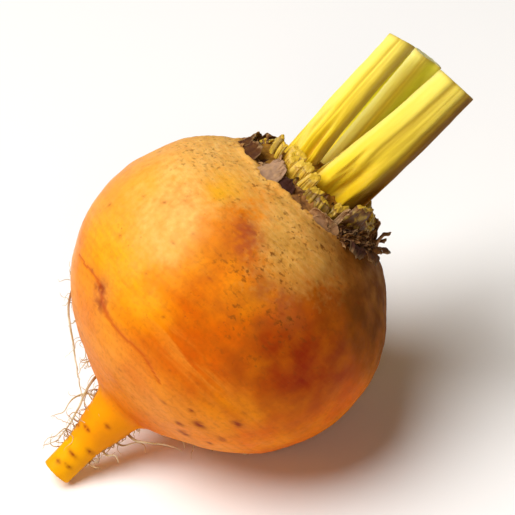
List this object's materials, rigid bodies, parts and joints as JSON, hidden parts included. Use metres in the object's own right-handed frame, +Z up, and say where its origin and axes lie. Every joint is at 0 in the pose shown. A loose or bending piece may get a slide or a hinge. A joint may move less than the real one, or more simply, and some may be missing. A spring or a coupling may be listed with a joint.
{
  "type": "golden beet",
  "caption": "Round golden beet lying on its belly, with a cut tap root, fine rootlets, trimmed yellow leaf stalks and dry papery scales at its crown.",
  "frame": {"origin": "centre of the flat spot under the belly, on the surface that the beet lies on", "axes": "+Z up, +X along the surface in the direction in which the crown leans, -X towards the tap root's tip"},
  "size_m": [0.1144, 0.0796, 0.0946],
  "materials": {
    "beet_skin": "thin dull orange skin, corky and tan near the crown, slightly waxy on the sides",
    "leaf_stalk": "ribbed, moist yellow stalks that turn pale green towards their cut ends",
    "leaf_base": "golden cut leaf bases, drying brown at their edges",
    "dry_scale": "dry, papery, brown to purple-grey with pale tan edges",
    "rootlet": "dry tan fibres"
  },
  "bodies": {
    "root": {"beet_root": "beet_skin", "leaf_stalk_front_left": "leaf_stalk", "leaf_stalk_front_right": "leaf_stalk", "leaf_stalk_back_middle": "leaf_stalk", "leaf_stalk_back_right": "leaf_stalk", "leaf_stalk_back_left": "leaf_stalk", "leaf_stalk_heart": "leaf_stalk", "cut_leaf_base_01": "leaf_base", "cut_leaf_base_02": "leaf_base", "cut_leaf_base_03": "leaf_base", "cut_leaf_base_04": "leaf_base", "cut_leaf_base_05": "leaf_base", "cut_leaf_base_06": "leaf_base", "cut_leaf_base_07": "leaf_base", "cut_leaf_base_08": "leaf_base", "cut_leaf_base_09": "leaf_base", "cut_leaf_base_10": "leaf_base", "cut_leaf_base_11": "leaf_base", "cut_leaf_base_12": "leaf_base", "cut_leaf_base_13": "leaf_base", "cut_leaf_base_14": "leaf_base", "cut_leaf_base_15": "leaf_base", "cut_leaf_base_16": "leaf_base", "cut_leaf_base_17": "leaf_base", "cut_leaf_base_18": "leaf_base", "cut_leaf_base_19": "leaf_base", "cut_leaf_base_20": "leaf_base", "dry_scale_01": "dry_scale", "dry_scale_02": "dry_scale", "dry_scale_03": "dry_scale", "dry_scale_04": "dry_scale", "dry_scale_05": "dry_scale", "dry_scale_06": "dry_scale", "dry_scale_07": "dry_scale", "dry_scale_08": "dry_scale", "dry_scale_09": "dry_scale", "dry_scale_10": "dry_scale", "dry_scale_11": "dry_scale", "dry_scale_12": "dry_scale", "dry_scale_13": "dry_scale", "dry_scale_14": "dry_scale", "dry_scale_15": "dry_scale", "dry_scale_16": "dry_scale", "dry_scale_17": "dry_scale", "dry_scale_18": "dry_scale", "dry_scale_19": "dry_scale", "rootlet_long": "rootlet", "rootlet_looped": "rootlet", "rootlet_left": "rootlet", "rootlet_under": "rootlet", "rootlet_under_curled": "rootlet", "rootlet_under_short": "rootlet"}
  },
  "joints": []
}
